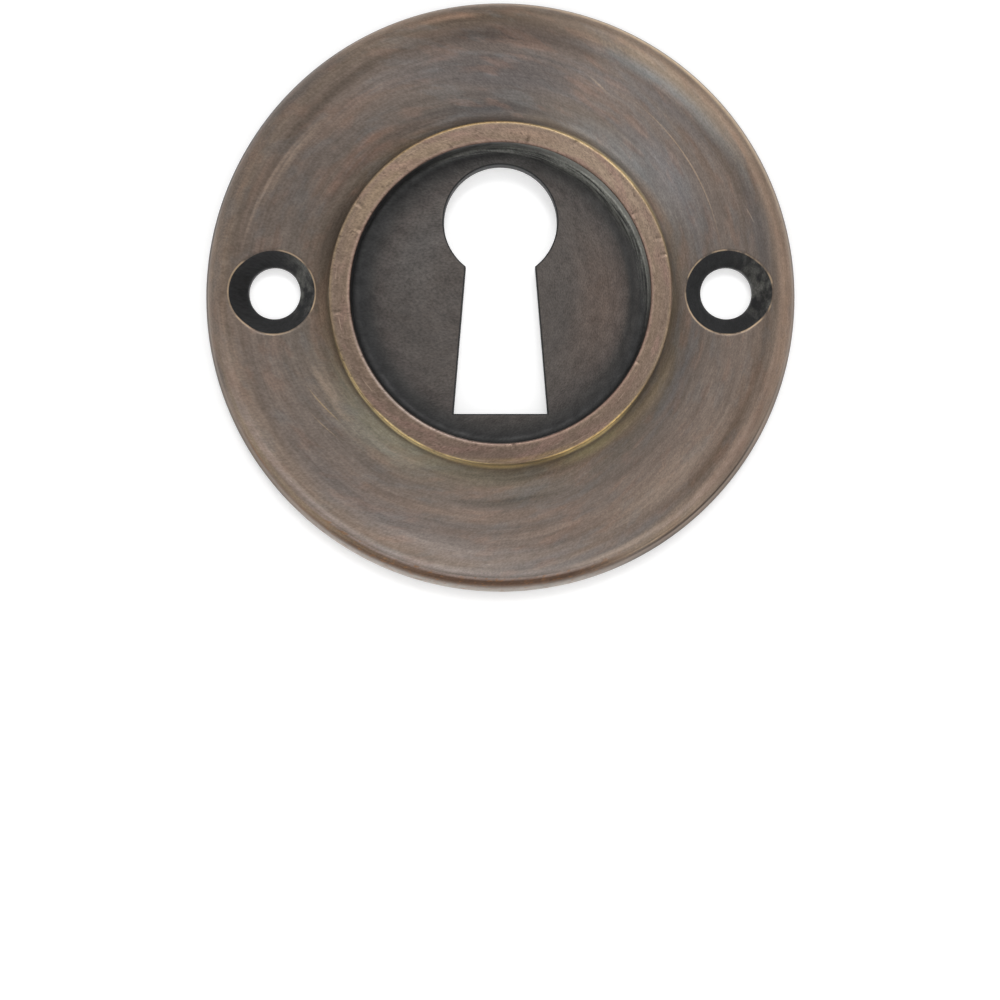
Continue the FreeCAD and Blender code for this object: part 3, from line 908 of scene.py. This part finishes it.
def seen_directly(tree):
    """1 for the rays of the camera and of reflections, and 0 for the light that falls on things."""
    ray = add(tree, "LightPath").outputs
    seen = add(tree, "Math", {0: ray["Is Camera Ray"], 1: ray["Is Glossy Ray"]}, operation="MAXIMUM")
    return add(tree, "Math", {0: seen, 1: ray["Is Transmission Ray"]}, operation="MAXIMUM")


# How strongly the board glows to the eye: in the open, and behind the plate, where its holes show it
OPEN_GLOW = 0.27
SHADED_GLOW = 0.44


def white_board():
    """Matt white board. The camera and the metal see it as plain white, grey only in the deepest shadow.

    Behind the plate it glows a little more, so that its holes show white too. It lets through what comes
    from behind it or starts within a millimetre, so the plate's back can be seen.
    """
    material, tree = new_material("white_board")
    paint = add(tree, "BsdfDiffuse", {"Color": linear("#f2f2f2")})
    thin_paint = add(tree, "BsdfDiffuse", {"Color": linear("#e7e7e7")})
    level = add(tree, "MapRange", {
        "Value": Places(tree).radius, "From Min": FLAT_RADIUS, "From Max": PLATE_RADIUS,
        "To Min": SHADED_GLOW, "To Max": OPEN_GLOW})
    glow = add(tree, "Emission", {"Color": (1, 1, 1, 1), "Strength": level})
    soft = add(tree, "AddShader", {0: thin_paint, 1: glow})
    front = add(tree, "MixShader", {0: seen_directly(tree), 1: paint, 2: soft})
    length = add(tree, "LightPath").outputs["Ray Length"]
    near = add(tree, "Math", {0: length, 1: 1 * MM}, operation="LESS_THAN")
    behind = add(tree, "NewGeometry").outputs["Backfacing"]
    let_through = add(tree, "Math", {0: behind, 1: near}, operation="MAXIMUM")
    clear = add(tree, "BsdfTransparent")
    surface = add(tree, "MixShader", {0: let_through, 1: front, 2: clear})
    add(tree, "OutputMaterial", {"Surface": surface})
    return material


def board(name, corners, material):
    """A flat rectangle of the stage, from four corners in metres."""
    mesh = bpy.data.meshes.new(name)
    mesh.from_pydata(corners, [], [range(4)])
    mesh.materials.append(material)
    made = bpy.data.objects.new(name, mesh)
    bpy.context.scene.collection.objects.link(made)


# The stage, in metres: the gap between the plate's back and the wall, half the width of the boards, and the
# level of the floor
WALL_GAP = 0.25 * MM
STAGE = 0.6
FLOOR_LEVEL = -0.06
white = white_board()
board("wall", [
    (-STAGE, WALL_GAP, FLOOR_LEVEL), (STAGE, WALL_GAP, FLOOR_LEVEL),
    (STAGE, WALL_GAP, STAGE), (-STAGE, WALL_GAP, STAGE),
], white)
board("floor", [
    (-STAGE, -STAGE, FLOOR_LEVEL), (STAGE, -STAGE, FLOOR_LEVEL),
    (STAGE, STAGE, FLOOR_LEVEL), (-STAGE, STAGE, FLOOR_LEVEL),
], white)


def light_room(strength):
    """A plain white room: white to the camera and in the metal, and an even light of its own."""
    world = bpy.data.worlds.new("white_room")
    world.use_nodes = True
    tree = world.node_tree
    tree.nodes.clear()
    level = add(tree, "MapRange", {"Value": seen_directly(tree), "To Min": strength, "To Max": 1.0})
    sky = add(tree, "Background", {"Color": (1, 1, 1, 1), "Strength": level})
    add(tree, "OutputWorld", {"Surface": sky})
    bpy.context.scene.world = world


def softbox(name, azimuth, lift, distance, size, strength):
    """A soft round lamp aimed at the plate. Azimuth runs clockwise from straight above the plate's
    centre, as seen from the front, and lift is its angle from the plate's axis, both in degrees. Its
    distance and size are in metres, and its strength is in watts."""
    lamp = bpy.data.lights.new(name, "AREA")
    lamp.shape = "DISK"
    lamp.size = size
    lamp.energy = strength
    turn, tip = math.radians(azimuth), math.radians(lift)
    away = Vector((math.sin(tip) * math.sin(turn), -math.cos(tip), math.sin(tip) * math.cos(turn)))
    made = bpy.data.objects.new(name, lamp)
    made.location = away * distance
    made.rotation_mode = "QUATERNION"
    made.rotation_quaternion = away.to_track_quat("Z", "Y")
    bpy.context.scene.collection.objects.link(made)


light_room(strength=0.75)
softbox("overhead_softbox", azimuth=4, lift=27, distance=0.5, size=0.13, strength=0.58)
softbox("front_softbox", azimuth=40, lift=20, distance=0.5, size=0.3, strength=0.27)

# The camera, in metres. It stands a little below the plate's centre and looks straight at the wall. So many
# pixels of the picture show one millimetre of the plate's back.
CAMERA_SIDE = -0.00003
CAMERA_DISTANCE = 0.2
CAMERA_LEVEL = -0.0153
SENSOR = 36
PIXELS_PER_MM = 13.23
IMAGE_WIDTH = 1000
lens = bpy.data.cameras.new("camera")
lens.sensor_width = SENSOR
lens.lens = PIXELS_PER_MM / MM * CAMERA_DISTANCE / IMAGE_WIDTH * SENSOR
lens.clip_start = 0.01
camera = bpy.data.objects.new("camera", lens)
camera.location = (CAMERA_SIDE, -CAMERA_DISTANCE, CAMERA_LEVEL)
camera.rotation_euler = (math.radians(90), 0, 0)
bpy.context.scene.collection.objects.link(camera)
bpy.context.scene.camera = camera
bpy.context.scene.view_settings.view_transform = "Standard"
